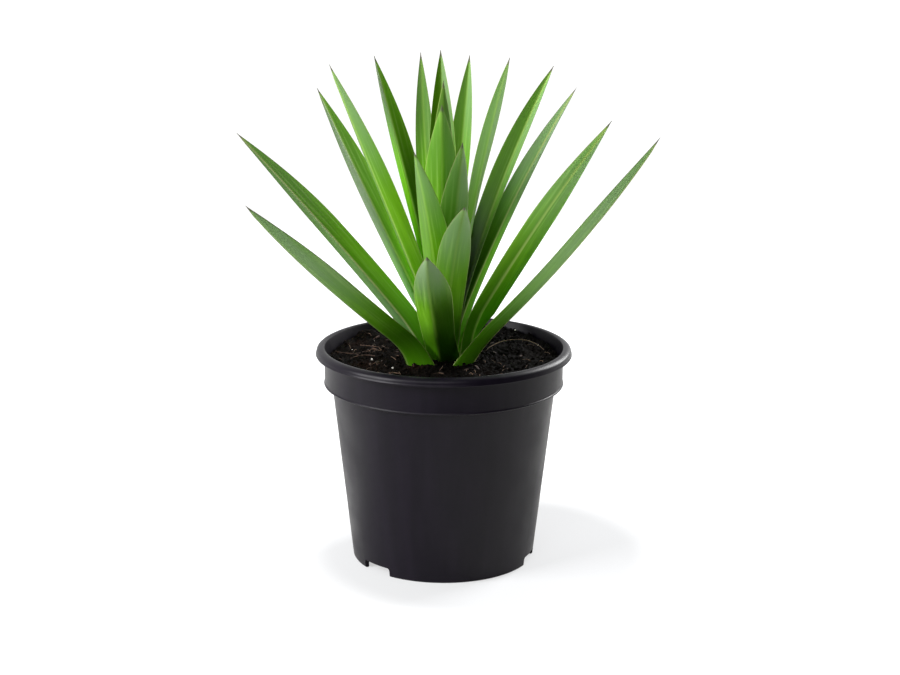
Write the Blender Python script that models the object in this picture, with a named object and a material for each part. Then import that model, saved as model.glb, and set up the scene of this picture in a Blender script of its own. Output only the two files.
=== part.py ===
"""A young furcraea in a plastic nursery pot, filled with potting soil.

Units are metres, +Z is up, and the origin is on the pot's axis at floor level.
The pot, the soil and the short stem are turned shapes. Every leaf is one closed
blade: a keeled channel that runs from the stem to its pointed tip.
"""

from dataclasses import dataclass
from math import cos, pi, radians, sin

import bmesh
import bpy
from mathutils import Matrix, Vector

MM = 0.001
GAP = 0.3 * MM  # clearance between pieces that touch

# Pot
POT_HEIGHT = 164 * MM
RIM_RADIUS = 95.3 * MM
LIP_RADIUS = 88.4 * MM
RIM_DROP = 6.1 * MM  # height of the turned-over rim
COLLAR_RADIUS = 88.7 * MM
COLLAR_DROP = 28.6 * MM  # from the pot's top to the collar's lower edge
BODY_TOP_RADIUS = 83.2 * MM
BODY_FOOT_RADIUS = 68.2 * MM
WALL = 2.0 * MM
FOOT_WALL = 3.4 * MM
FLOOR_UNDERSIDE = 7.0 * MM
FLOOR_THICKNESS = 2.0 * MM
POT_SEGMENTS = 60
# The rim's section, as how far each point lies inside the rim radius and below the pot's top
RIM_PROFILE = ((1.6, 5.2), (0.8, 6.1), (0.0, 5.6), (0.3, 3.1), (2.0, 1.0), (4.5, 0.0))
FOOT_PROFILE = ((1.3, 0.0), (0.3, 0.5), (-0.2, 1.6))  # inside the foot radius, above the floor
LIP_PROFILE = ((0.6, 0.3), (0.0, 1.2))  # outside the lip radius, below the pot's top

# Drainage
NOTCH_COUNT = 3
NOTCH_COMPASS = -136.5  # degrees from +X towards +Y, of the first notch
NOTCH_WIDTH = 27 * MM
NOTCH_HEIGHT = 6.8 * MM
NOTCH_DEPTH = 16 * MM
DRAIN_COUNT = 6
DRAIN_RADIUS = 4.5 * MM
DRAIN_RING = 38 * MM

# Soil
SOIL_SEGMENTS = 60
SOIL_RINGS = (20, 30, 41, 52, 63, 73, 80)  # millimetres from the axis
SOIL_CROWN_HEIGHT = 152.4 * MM
SOIL_WALL_FALL = 2.6 * MM
SOIL_TILT = 1.6 * MM  # rise towards +X, from the axis to the wall
SOIL_WAVE = 1.3 * MM
WAVE_LENGTHS = (13 * MM, 11 * MM, 17 * MM)

# Stem
STEM_FOOT = 134 * MM
STEM_RADIUS = 11.0 * MM
STEM_HEAD = ((9.6, 157), (5.6, 164), (1.8, 171), (0, 172))  # radius and height, millimetres
STEM_SEGMENTS = 24

# Leaf bases, from the oldest leaf to the youngest
ROOT_RADII = (15.5 * MM, 3.0 * MM)
ROOT_HEIGHTS = (154.6 * MM, 180.0 * MM)
BASE_SHARES = (0.92, 0.26)  # width at the base, as a share of the full width

# Leaf blade
BLADE_STATIONS = 16
WIDEST_AT = 0.54  # share of the length where the blade is widest
ROLLED_BY = 0.15  # share of the length by which the blade has turned to its roll
MIDRIB_THICKNESS = 1.5 * MM
THINNING = 0.5  # share of the thickness lost by the tip
CHANNEL_POWER = 1.35  # how round the channel's bottom is
FOLD_LOSS = 0.35  # share of the channel's depth lost by the tip
TIP_HALF_WIDTH = 0.4 * MM
ACROSS = (-1.0, -0.5, 0.0, 0.5, 1.0)


@dataclass(frozen=True)
class Leaf:
    """One blade: angles in degrees, lengths in millimetres.

    compass is the way it points, from +X towards +Y, and rise its slope, both at mid-length.
    bend and sweep are how much rise and compass change from base to tip. roll turns the blade
    about its midrib at the base, and tip_roll at the tip. fold is how steeply its halves rise.
    """

    compass: float
    rise: float
    length: float
    width: float
    bend: float
    sweep: float
    roll: float
    tip_roll: float
    fold: float


# From the oldest leaf, lowest on the stem, to the youngest in the heart.
#         compass rise length width bend sweep roll tip_roll fold
LEAVES = (
    Leaf(-132, 38, 234, 25.5, 7, 4, 2, 12, 28),
    Leaf(-10, 50, 225, 25.5, 18, -1, -19, -18, 28),
    Leaf(89, 34, 229, 16, -6, 0, -6, -6, 26),
    Leaf(150, 41, 230, 27, -5, 1, -19, -1, 26),
    Leaf(-93, 31, 226, 28, 0, 2, 15, -9, 26),
    Leaf(89, 43, 222, 14, -6, 0, 12, 10, 26),
    Leaf(-86, 39, 228, 24, -19, 2, -14, 7, 26),
    Leaf(49, 50, 232, 24, -8, -2, -5, -22, 26),
    Leaf(-97, 48, 232, 25, -13, -6, -7, -35, 26),
    Leaf(-32, 55, 219, 25, 3, -14, -36, -8, 26),
    Leaf(46, 60, 227, 25, -16, -1, -14, -9, 26),
    Leaf(-85, 53, 213, 24, -9, 1, 9, 16, 26),
    Leaf(130.5, 49.5, 228, 25, -4, -12, -10, 18, 26),
    Leaf(79, 62.5, 225, 20, -9, 10, -20, -10, 30),
    Leaf(-91, 60.5, 216, 28.5, -10, 2, 7, 4, 28),
    Leaf(8, 78, 209, 23, -5, 1, -15, 21, 28),
    Leaf(100, 62.5, 221, 17, -3, -10, -20, -7, 30),
    Leaf(-148, 66, 223, 25, -1, 0, 14, 2, 26),
    Leaf(136, 70, 211, 23, -12, -19, -14, 17, 28),
    Leaf(-91, 73, 200, 20, -4, 1, 3, 14, 30),
    Leaf(94, 82.5, 205, 23, -5, 10, 8, -8, 30),
)


def clear_scene():
    """Remove every object that the file opened with."""
    for obj in list(bpy.data.objects):
        bpy.data.objects.remove(obj, do_unlink=True)


def material(name, colour, roughness):
    """A plain Principled material in a linear colour."""
    made = bpy.data.materials.new(name)
    made.use_nodes = True
    shader = made.node_tree.nodes["Principled BSDF"]
    shader.inputs["Base Color"].default_value = (*colour, 1.0)
    shader.inputs["Roughness"].default_value = roughness
    shader.inputs["Metallic"].default_value = 0.0
    return made


def object_from(name, shape, finish, sharp_angle=radians(40)):
    """Turn a bmesh into a smooth-shaded object with its own material."""
    bmesh.ops.recalc_face_normals(shape, faces=shape.faces)
    mesh = bpy.data.meshes.new(name)
    shape.to_mesh(mesh)
    shape.free()
    mesh.shade_smooth()
    mesh.set_sharp_from_angle(angle=sharp_angle)
    mesh.materials.append(finish)
    obj = bpy.data.objects.new(name, mesh)
    bpy.context.scene.collection.objects.link(obj)
    return obj


def turned(outline, segments):
    """Spin an outline of (radius, height) points about Z, from axis to axis."""
    shape = bmesh.new()
    points = [shape.verts.new((radius, 0.0, height)) for radius, height in outline]
    edges = [shape.edges.new(pair) for pair in zip(points, points[1:])]
    bmesh.ops.spin(
        shape,
        geom=points + edges,
        cent=(0, 0, 0),
        axis=(0, 0, 1),
        angle=2 * pi,
        steps=segments,
        use_merge=True,
    )
    bmesh.ops.remove_doubles(shape, verts=shape.verts, dist=1e-6)
    return shape


def body_radius(height):
    """Outer radius of the straight tapered wall below the collar."""
    share = height / (POT_HEIGHT - COLLAR_DROP)
    return BODY_FOOT_RADIUS + share * (BODY_TOP_RADIUS - BODY_FOOT_RADIUS)


def inner_radius(height):
    """Inner radius of the pot: tapered wall, a sloped step, then the collar up to the lip."""
    step_foot = POT_HEIGHT - COLLAR_DROP - WALL
    step_top = POT_HEIGHT - COLLAR_DROP + WALL
    if height <= step_foot:
        return body_radius(height) - WALL
    low = body_radius(step_foot) - WALL
    high = COLLAR_RADIUS - WALL
    if height <= step_top:
        return low + (high - low) * (height - step_foot) / (step_top - step_foot)
    return high + (LIP_RADIUS - high) * (height - step_top) / (POT_HEIGHT - step_top)


def pot_outline():
    """The pot's half section, from the floor's underside out, up and back to its top."""
    collar_foot = POT_HEIGHT - COLLAR_DROP
    foot_inner = BODY_FOOT_RADIUS - FOOT_WALL
    floor_top = FLOOR_UNDERSIDE + FLOOR_THICKNESS
    outline = [(0, FLOOR_UNDERSIDE), (foot_inner, FLOOR_UNDERSIDE), (foot_inner, 0)]
    outline += [(BODY_FOOT_RADIUS - inside * MM, height * MM) for inside, height in FOOT_PROFILE]
    outline += [
        (BODY_TOP_RADIUS, collar_foot - 0.8 * MM),
        (BODY_TOP_RADIUS + 0.6 * MM, collar_foot),
        (COLLAR_RADIUS - 0.8 * MM, collar_foot),
        (COLLAR_RADIUS, collar_foot + 0.7 * MM),
        (COLLAR_RADIUS + 0.2 * MM, POT_HEIGHT - RIM_DROP + 1.8 * MM),
    ]
    outline += [(RIM_RADIUS - inside * MM, POT_HEIGHT - drop * MM) for inside, drop in RIM_PROFILE]
    outline += [(LIP_RADIUS + outside * MM, POT_HEIGHT - drop * MM) for outside, drop in LIP_PROFILE]
    for height in (collar_foot + WALL, collar_foot - WALL, floor_top):
        outline.append((inner_radius(height), height))
    return outline + [(0, floor_top)]


def cutter(name, shape):
    """A hidden helper object for a Boolean."""
    obj = object_from(name, shape, bpy.data.materials["black_plastic"])
    obj.hide_render = True
    obj.display_type = "WIRE"
    return obj


def cut(obj, tool):
    """Take one cutter away from an object."""
    modifier = obj.modifiers.new(tool.name, "BOOLEAN")
    modifier.operation = "DIFFERENCE"
    modifier.object = tool


def build_pot(finish):
    """The nursery pot: turned shell, three foot notches and a ring of drain holes."""
    pot = object_from("pot", turned(pot_outline(), POT_SEGMENTS), finish)
    for index in range(NOTCH_COUNT):
        turn = radians(NOTCH_COMPASS + 360 / NOTCH_COUNT * index)
        size = Matrix.Diagonal((NOTCH_DEPTH, NOTCH_WIDTH, 2 * NOTCH_HEIGHT, 1))
        place = Matrix.Rotation(turn, 4, "Z") @ Matrix.Translation((BODY_FOOT_RADIUS, 0, 0)) @ size
        box = bmesh.new()
        bmesh.ops.create_cube(box, size=1, matrix=place)
        cut(pot, cutter(f"notch_{index}", box))
    for index in range(DRAIN_COUNT):
        turn = 2 * pi * (index + 0.5) / DRAIN_COUNT
        centre = (DRAIN_RING * cos(turn), DRAIN_RING * sin(turn), FLOOR_UNDERSIDE + FLOOR_THICKNESS / 2)
        drill = bmesh.new()
        bmesh.ops.create_cone(
            drill,
            cap_ends=True,
            segments=16,
            radius1=DRAIN_RADIUS,
            radius2=DRAIN_RADIUS,
            depth=3 * FLOOR_THICKNESS,
            matrix=Matrix.Translation(centre),
        )
        cut(pot, cutter(f"drain_{index}", drill))


def soil_height(x, y):
    """Height of the soil's uneven surface: it falls to the wall and lies higher on the +X side."""
    share = Vector((x, y)).length / BODY_TOP_RADIUS
    tilt = SOIL_TILT * x / BODY_TOP_RADIUS
    across, deep, slanted = WAVE_LENGTHS
    wave = sin(x / across + 1.0) * cos(y / deep) + 0.6 * sin((x - 2 * y) / slanted)
    return SOIL_CROWN_HEIGHT - SOIL_WALL_FALL * share**2 + tilt + SOIL_WAVE * wave * min(1, share * 1.5)


def build_soil(finish):
    """The root ball: it fills the pot, with an uneven top and a pit for the stem."""
    pit_radius = STEM_RADIUS + GAP
    pit_floor = STEM_FOOT - GAP
    bottom = FLOOR_UNDERSIDE + FLOOR_THICKNESS + GAP
    step_foot = POT_HEIGHT - COLLAR_DROP - WALL
    step_top = POT_HEIGHT - COLLAR_DROP + WALL
    wall_top = SOIL_CROWN_HEIGHT - SOIL_WALL_FALL
    outline = [(0, pit_floor), (pit_radius, pit_floor), (pit_radius, SOIL_CROWN_HEIGHT)]
    outline += [(radius * MM, SOIL_CROWN_HEIGHT) for radius in SOIL_RINGS]
    outline += [
        (inner_radius(wall_top) - GAP, wall_top),
        (inner_radius(step_top) - GAP, step_top),
        (inner_radius(step_foot) - GAP, step_foot),
        (inner_radius(bottom) - GAP, bottom),
        (0, bottom),
    ]
    shape = turned(outline, SOIL_SEGMENTS)
    for vertex in shape.verts:
        if vertex.co.z > wall_top - GAP:
            vertex.co.z = soil_height(vertex.co.x, vertex.co.y)
    object_from("soil", shape, finish)


def build_stem(finish):
    """The short stem that every leaf grows from, buried at its foot."""
    outline = [(0, STEM_FOOT), (STEM_RADIUS - 2 * MM, STEM_FOOT), (STEM_RADIUS, STEM_FOOT + 3 * MM)]
    outline.append((STEM_RADIUS, SOIL_CROWN_HEIGHT))
    outline += [(radius * MM, height * MM) for radius, height in STEM_HEAD]
    object_from("stem", turned(outline, STEM_SEGMENTS), finish)


def by_age(ends, age):
    """A value between the oldest leaf's (age 0) and the youngest one's (age 1)."""
    return ends[0] + (ends[1] - ends[0]) * age


def half_width(leaf, age, share):
    """Half the blade's width: it swells from the base, then tapers as a parabola to the tip."""
    full = leaf.width * MM / 2
    if share < WIDEST_AT:
        base = by_age(BASE_SHARES, age**1.5)
        return full * (base + (1 - base) * sin(pi / 2 * share / WIDEST_AT))
    taper = (share - WIDEST_AT) / (1 - WIDEST_AT)
    return max(full * (1 - taper**2), TIP_HALF_WIDTH)


def blade_axes(leaf, share):
    """The blade's direction, its side and its upper face's direction at a share of its length."""
    slope = radians(leaf.rise + leaf.bend * (share - 0.5))
    heading = radians(leaf.compass + leaf.sweep * (share - 0.5))
    along = Vector((cos(slope) * cos(heading), cos(slope) * sin(heading), sin(slope)))
    side = Vector((-sin(heading), cos(heading), 0))
    up = along.cross(side)
    settled = min(1, share / ROLLED_BY)
    roll = radians(leaf.roll + (leaf.tip_roll - leaf.roll) * share) * settled
    return along, side * cos(roll) + up * sin(roll), up * cos(roll) - side * sin(roll)


def midrib(leaf, age):
    """Points along the blade's middle, one for each station."""
    heading = radians(leaf.compass - leaf.sweep / 2)
    root = by_age(ROOT_RADII, age)
    point = Vector((root * cos(heading), root * sin(heading), by_age(ROOT_HEIGHTS, age)))
    points = [point]
    for station in range(BLADE_STATIONS):
        along = blade_axes(leaf, (station + 0.5) / BLADE_STATIONS)[0]
        point = point + along * leaf.length * MM / BLADE_STATIONS
        points.append(point)
    return points


def blade_ring(leaf, age, share, centre):
    """One closed section of the blade: its upper face, then its keeled underside."""
    _, side, up = blade_axes(leaf, share)
    reach = half_width(leaf, age, share)
    fold = radians(leaf.fold * (1 - FOLD_LOSS * share))
    thickness = MIDRIB_THICKNESS * (1 - THINNING * share)
    upper = []
    for across in ACROSS:
        lift = reach * abs(across) ** CHANNEL_POWER * sin(fold)
        upper.append(centre + side * reach * across * cos(fold) + up * lift)
    lower = []
    for across, point in zip(ACROSS[1:-1], upper[1:-1]):
        lower.append(point - up * thickness * (1 - across**2))
    return upper + lower[::-1]


def build_leaf(name, leaf, age, finish):
    """Bridge the blade's sections and close both ends."""
    shape = bmesh.new()
    rings = []
    for station, centre in enumerate(midrib(leaf, age)):
        ring = blade_ring(leaf, age, station / BLADE_STATIONS, centre)
        rings.append([shape.verts.new(point) for point in ring])
    for near, far in zip(rings, rings[1:]):
        for index in range(len(near)):
            following = (index + 1) % len(near)
            shape.faces.new((near[index], near[following], far[following], far[index]))
    shape.faces.new(rings[0])
    shape.faces.new(rings[-1])
    object_from(name, shape, finish, radians(60))


def main():
    """Build the pot, the soil, the stem and every leaf."""
    clear_scene()
    build_pot(material("black_plastic", (0.018, 0.017, 0.020), 0.42))
    build_soil(material("potting_soil", (0.020, 0.013, 0.009), 0.95))
    build_stem(material("stem_base", (0.16, 0.20, 0.06), 0.6))
    blade = (0.085, 0.22, 0.025)
    for index, leaf in enumerate(LEAVES):
        name = f"leaf_{index + 1:02d}"
        age = index / (len(LEAVES) - 1)
        build_leaf(name, leaf, age, material(f"{name}_blade", blade, 0.38))


main()
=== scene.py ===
"""The looks of a young furcraea in a black nursery pot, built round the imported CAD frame.

Units are metres, +Z is up, and the origin is on the pot's axis at floor level. Each
sub-assembly is a class that holds its sizes, builds its meshes and dresses them.
"""

import logging
import random
from collections.abc import Sequence
from dataclasses import dataclass
from enum import Enum
from math import cos, exp, hypot, pi, radians, sin

import bpy
from bpy.types import Material, Node, NodeSocket, NodeTree, Object
from mathutils import Euler, Matrix, Vector, noise

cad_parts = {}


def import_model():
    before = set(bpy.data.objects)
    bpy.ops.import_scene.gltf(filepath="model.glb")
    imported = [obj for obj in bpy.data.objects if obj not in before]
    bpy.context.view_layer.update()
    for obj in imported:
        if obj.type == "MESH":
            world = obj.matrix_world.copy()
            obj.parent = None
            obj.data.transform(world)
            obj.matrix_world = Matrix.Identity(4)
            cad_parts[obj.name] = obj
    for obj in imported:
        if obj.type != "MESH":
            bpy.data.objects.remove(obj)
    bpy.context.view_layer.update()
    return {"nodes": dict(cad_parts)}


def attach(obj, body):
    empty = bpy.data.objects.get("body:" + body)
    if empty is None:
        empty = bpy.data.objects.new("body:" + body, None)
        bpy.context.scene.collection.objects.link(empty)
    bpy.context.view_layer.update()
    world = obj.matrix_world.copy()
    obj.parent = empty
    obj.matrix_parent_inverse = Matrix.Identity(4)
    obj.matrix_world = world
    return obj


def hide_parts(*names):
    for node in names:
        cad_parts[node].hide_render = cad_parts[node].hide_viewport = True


Pair = tuple[float, float]
Triple = tuple[float, float, float]
LOG = logging.getLogger("furcraea")
MM = 0.001
SEED = 20


# ---- small tools


def linear(hex_colour: str) -> tuple[float, float, float, float]:
    """Turn an sRGB hex colour into a linear RGBA tuple.

    Args:
        hex_colour: six hex digits, with or without a leading #.

    Returns:
        The linear red, green, blue and an alpha of 1.
    """
    digits = hex_colour.lstrip("#")
    channels = [int(digits[place : place + 2], 16) / 255 for place in (0, 2, 4)]
    straight = [c / 12.92 if c <= 0.04045 else ((c + 0.055) / 1.055) ** 2.4 for c in channels]
    return (straight[0], straight[1], straight[2], 1.0)


def blend(start: float, end: float, share: float) -> float:
    """A value between start (share 0) and end (share 1)."""
    return start + (end - start) * share


def smooth(low: float, high: float, value: float) -> float:
    """A soft step from 0 at low to 1 at high."""
    share = min(1.0, max(0.0, (value - low) / (high - low)))
    return share * share * (3 - 2 * share)


def pick(piece: Object) -> None:
    """Select one piece alone and make it the active one."""
    bpy.ops.object.select_all(action="DESELECT")
    piece.select_set(True)
    bpy.context.view_layer.objects.active = piece


def start_piece(name: str) -> Object:
    """Name the object that an operator has just added, and return it."""
    piece = bpy.context.object
    piece.name = name
    piece.data.name = name
    return piece


def settle(piece: Object) -> None:
    """Put the piece's place into its mesh, so that its object sits at the origin."""
    pick(piece)
    bpy.ops.object.transform_apply()


def join(name: str, pieces: Sequence[Object]) -> Object:
    """Join separate meshes into one named piece that sits at the origin."""
    pick(pieces[0])
    for piece in pieces[1:]:
        piece.select_set(True)
    bpy.ops.object.join()
    joined = start_piece(name)
    settle(joined)
    return joined


def close_skin(piece: Object, distance: float) -> None:
    """Merge the vertices within a distance, fill the open ends and turn every face outwards."""
    pick(piece)
    bpy.ops.object.mode_set(mode="EDIT")
    bpy.ops.mesh.select_all(action="SELECT")
    bpy.ops.mesh.remove_doubles(threshold=distance)
    bpy.ops.mesh.select_all(action="DESELECT")
    bpy.ops.mesh.select_non_manifold()
    bpy.ops.mesh.edge_face_add()
    bpy.ops.mesh.select_all(action="SELECT")
    bpy.ops.mesh.normals_make_consistent()
    bpy.ops.object.mode_set(mode="OBJECT")


def smooth_shade(piece: Object, angle: float) -> None:
    """Shade smooth, with an edge kept sharp where it is steeper than the angle in degrees."""
    pick(piece)
    bpy.ops.object.shade_smooth_by_angle(angle=radians(angle))


def hand_over(piece: Object, finish: Material, node: str | None = None) -> None:
    """Dress a finished piece and tie it to the frame.

    Args:
        piece: the finished object.
        finish: its material.
        node: the CAD node that it stands for, if any.
    """
    piece.data.materials.clear()
    piece.data.materials.append(finish)
    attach(piece, "root")
    if node:
        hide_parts(node)
    LOG.info("%s: %d faces", piece.name, len(piece.data.polygons))


# ---- finishes


Feed = NodeSocket | str | float | tuple[float, ...]
Feeds = dict[int | str, Feed] | tuple[Feed, ...]
Layer = tuple[NodeSocket, float, float, float, float, NodeSocket | str]
SOFT = {"interpolation_type": "SMOOTHSTEP"}
COLOURS = {"data_type": "RGBA"}


def feed(tree: NodeTree, node: Node, feeds: Feeds) -> None:
    """Link or set a node's inputs.

    Args:
        tree: the node's tree.
        node: the node.
        feeds: a tuple in the order of the inputs, or a dictionary by their names or indices. A
            socket is linked, a hex colour is set as its linear colour, and the rest is set.
    """
    for key, value in feeds.items() if isinstance(feeds, dict) else enumerate(feeds):
        if isinstance(value, NodeSocket):
            tree.links.new(value, node.inputs[key])
        else:
            node.inputs[key].default_value = linear(value) if isinstance(value, str) else value


def add_node(
    tree: NodeTree,
    kind: str,
    feeds: Feeds = (),
    settings: dict[str, str] | None = None,
    out: int | str = 0,
) -> NodeSocket:
    """Add a shader node with its settings, values and links.

    Args:
        tree: the node tree to add to.
        kind: the node's type name without its ShaderNode.
        feeds: what its inputs get, as in feed().
        settings: its attributes by name.
        out: the name or index of the output that is wanted.

    Returns:
        The new node's output.
    """
    made = tree.nodes.new(f"ShaderNode{kind}")
    for name, value in (settings or {}).items():
        setattr(made, name, value)
    feed(tree, made, feeds)
    return made.outputs[out]


def layered(tree: NodeTree, colour: NodeSocket | str, layers: Sequence[Layer]) -> NodeSocket:
    """Lay colours over one another.

    Args:
        tree: the node tree to add to.
        colour: the lowest colour.
        layers: from the lowest up, what guides each layer, the guide's two limits, how much of
            the layer shows at each of them, and the layer's colour.

    Returns:
        The colour that they make together.
    """
    for guide, low, high, start, end, above in layers:
        share = add_node(tree, "MapRange", (guide, low, high, start, end), SOFT)
        colour = add_node(tree, "Mix", {0: share, 6: colour, 7: above}, COLOURS, out=2)
    return colour


def new_material(name: str) -> tuple[Material, NodeTree, Node]:
    """A material with an empty tree but its Principled shader and output."""
    made = bpy.data.materials.new(name)
    made.use_nodes = True
    tree = made.node_tree
    return made, tree, tree.nodes["Principled BSDF"]


@dataclass(frozen=True)
class MouldedPolypropylene:
    """Injection-moulded black polypropylene.

    It has a dull satin sheen, faint upright flow streaks from the mould, and fine
    scuffs and dust that soften the sheen in patches.
    """

    name: str = "moulded_polypropylene"
    base: str = "#0c0812"
    pale: str = "#120d18"
    roughness: float = 0.31
    scuffs: float = 0.10
    dust: float = 0.06
    streak_width: float = 9.0 * MM
    streak_length: float = 166.667 * MM
    scuff_size: float = 35.714 * MM
    grain_size: float = 0.6 * MM
    grain_depth: float = 0.15 * MM

    def build(self) -> Material:
        """Make the material.

        Returns:
            The finished material.
        """
        made, tree, shader = new_material(self.name)
        place = add_node(tree, "TexCoord", out="Object")
        aside = 1 / self.streak_width
        upright = {"Vector": place, "Scale": (aside, aside, 1 / self.streak_length)}
        streak, patch, grain = (
            add_node(tree, "TexNoise", {"Vector": spot, "Scale": scale, "Detail": detail})
            for spot, scale, detail in (
                (add_node(tree, "Mapping", upright), 1.0, 4.0),
                (place, 1 / self.scuff_size, 6.0),
                (place, 1 / self.grain_size, 2.0),
            )
        )
        dull = add_node(tree, "MapRange", (patch, 0.35, 0.7, 0.0, self.scuffs), SOFT)
        fine = (grain, self.dust, self.roughness)
        fine = add_node(tree, "Math", fine, {"operation": "MULTIPLY_ADD"})
        bump = {"Strength": 0.12, "Distance": self.grain_depth, "Height": grain}
        looks = {
            "Base Color": layered(tree, self.base, ((streak, 0.3, 0.75, 0, 1, self.pale),)),
            "Roughness": add_node(tree, "Math", (dull, fine), {"operation": "ADD"}),
            "IOR": 1.49,
            "Specular IOR Level": 0.19,
            "Normal": add_node(tree, "Bump", bump),
        }
        feed(tree, shader, looks)
        return made


@dataclass(frozen=True)
class PottingMix:
    """Damp peat and bark potting mix.

    It is near black in the hollows and dark brown on the crumbs, dull all over, with a weak damp glint
    on the fine grit. It is darker towards +X, a painted shade where the plant shades the bed.
    """

    name: str = "potting_mix"
    deep: str = "#040302"
    crumb: str = "#0b0806"
    dry: str = "#44362b"
    rust: str = "#1a0e09"
    painted_shade_from: float = -40 * MM
    painted_shade_to: float = 30 * MM
    lump_size: float = 8.3333 * MM
    patch_size: float = 29.412 * MM
    grit_size: float = 0.9 * MM
    grit_depth: float = 0.6 * MM

    def build(self) -> Material:
        """Make the material.

        Returns:
            The finished material.
        """
        made, tree, shader = new_material(self.name)
        place = add_node(tree, "TexCoord", out="Object")
        lumps, patch, grit = (
            add_node(tree, "TexNoise", {"Vector": place, "Scale": 1 / size, "Detail": detail})
            for size, detail in ((self.lump_size, 5.0), (self.patch_size, 3.0), (self.grit_size, 3.0))
        )
        across = add_node(tree, "SeparateXYZ", (place,))
        layers = (
            (lumps, 0.4, 0.6, 0, 1, self.crumb),
            (patch, 0.48, 0.68, 0, 0.8, self.rust),
            (grit, 0.58, 0.74, 0, 0.9, self.dry),
            # painted shade: the bed turns to the deep colour towards +X
            (across, self.painted_shade_from, self.painted_shade_to, 0.1, 0.8, self.deep),
        )
        bump = {"Strength": 0.8, "Distance": self.grit_depth, "Height": grit}
        looks = {
            "Base Color": layered(tree, self.deep, layers),
            "Roughness": add_node(tree, "MapRange", (grit, 0.3, 0.7, 0.7, 0.95), SOFT),
            "Specular IOR Level": 0.04,
            "Normal": add_node(tree, "Bump", bump),
        }
        feed(tree, shader, looks)
        return made


@dataclass(frozen=True)
class GrainedMatter:
    """A dull natural material, mottled from one colour to another by one grain.

    grain_mm is the size of one grain, limits say where the mottle turns from the first
    colour to the second, and relief is how deep the grain goes.
    """

    name: str
    first: str
    second: str
    grain_mm: float
    limits: Pair
    roughness: float
    detail: float = 3.0
    relief: float = 0.0

    def build(self) -> Material:
        """Make the material.

        Returns:
            The finished material.
        """
        made, tree, shader = new_material(self.name)
        place = add_node(tree, "TexCoord", out="Object")
        scale = 1 / (self.grain_mm * MM)
        grain = add_node(tree, "TexNoise", {"Vector": place, "Scale": scale, "Detail": self.detail})
        colour = layered(tree, self.first, ((grain, *self.limits, 0, 1, self.second),))
        feed(tree, shader, {"Base Color": colour, "Roughness": self.roughness})
        if self.relief:
            bump = {"Strength": 0.6, "Distance": self.relief, "Height": grain}
            feed(tree, shader, {"Normal": add_node(tree, "Bump", bump)})
        return made


# Expanded volcanic glass: white, chalky, pitted grains.
PERLITE = GrainedMatter("expanded_perlite", "#a8a298", "#e9e6df", 0.55556, (0.35, 0.55), 0.85)
# Composted pine bark: reddish brown, fibrous and dull.
BARK = GrainedMatter(
    "composted_bark", "#1e130e", "#4a3428", 2.0, (0.4, 0.68), 0.9, 4.0, relief=0.4 * MM
)
# Dry fine roots and fibres: a fibrous skin, pale on the fresh root and browner on the old ones.
PALE_ROOT = GrainedMatter("pale_root", "#5f4c3b", "#86705a", 3.3333, (0.35, 0.65), 0.8)
BROWN_ROOT = GrainedMatter("brown_root", "#33211a", "#5e4636", 3.3333, (0.35, 0.65), 0.8)
PEAT_FIBRE = GrainedMatter("peat_fibre", "#3b2a20", "#8a6f5a", 3.3333, (0.35, 0.65), 0.8)
# The short stem between the leaf bases: pale green flesh with brown scars.
FLESHY_STEM = GrainedMatter("fleshy_stem", "#3b2f1c", "#6c7a35", 3.8462, (0.4, 0.6), 0.6, 4.0)


@dataclass(frozen=True)
class LeafGreens:
    """The sRGB greens of one tone.

    flesh and deep mottle the blade, the third green is painted shade at its base, streak its pale
    veins, margin its thin edge, dry the edge towards the tip, and through the light that comes through.
    """

    flesh: str
    deep: str
    painted_base_shade: str
    streak: str
    margin: str
    dry: str
    through: str


class Tone(Enum):
    """How far a leaf has hardened, which sets its greens and its margin."""

    OLD = LeafGreens("#5c8e1c", "#4b7c12", "#3a6e06", "#84a458", "#a2ab6c", "#84705e", "#76a406")
    GROWN = LeafGreens("#62961c", "#528412", "#3e7606", "#88b050", "#a8bf68", "#8f8b62", "#80b202")
    YOUNG = LeafGreens("#6aa21a", "#5a9010", "#447e06", "#90ba50", "#b0cc6c", "#a0b45e", "#8cc000")


BLADE_MARKS = ("rim_mm", "span_mm", "along", "across")


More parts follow.
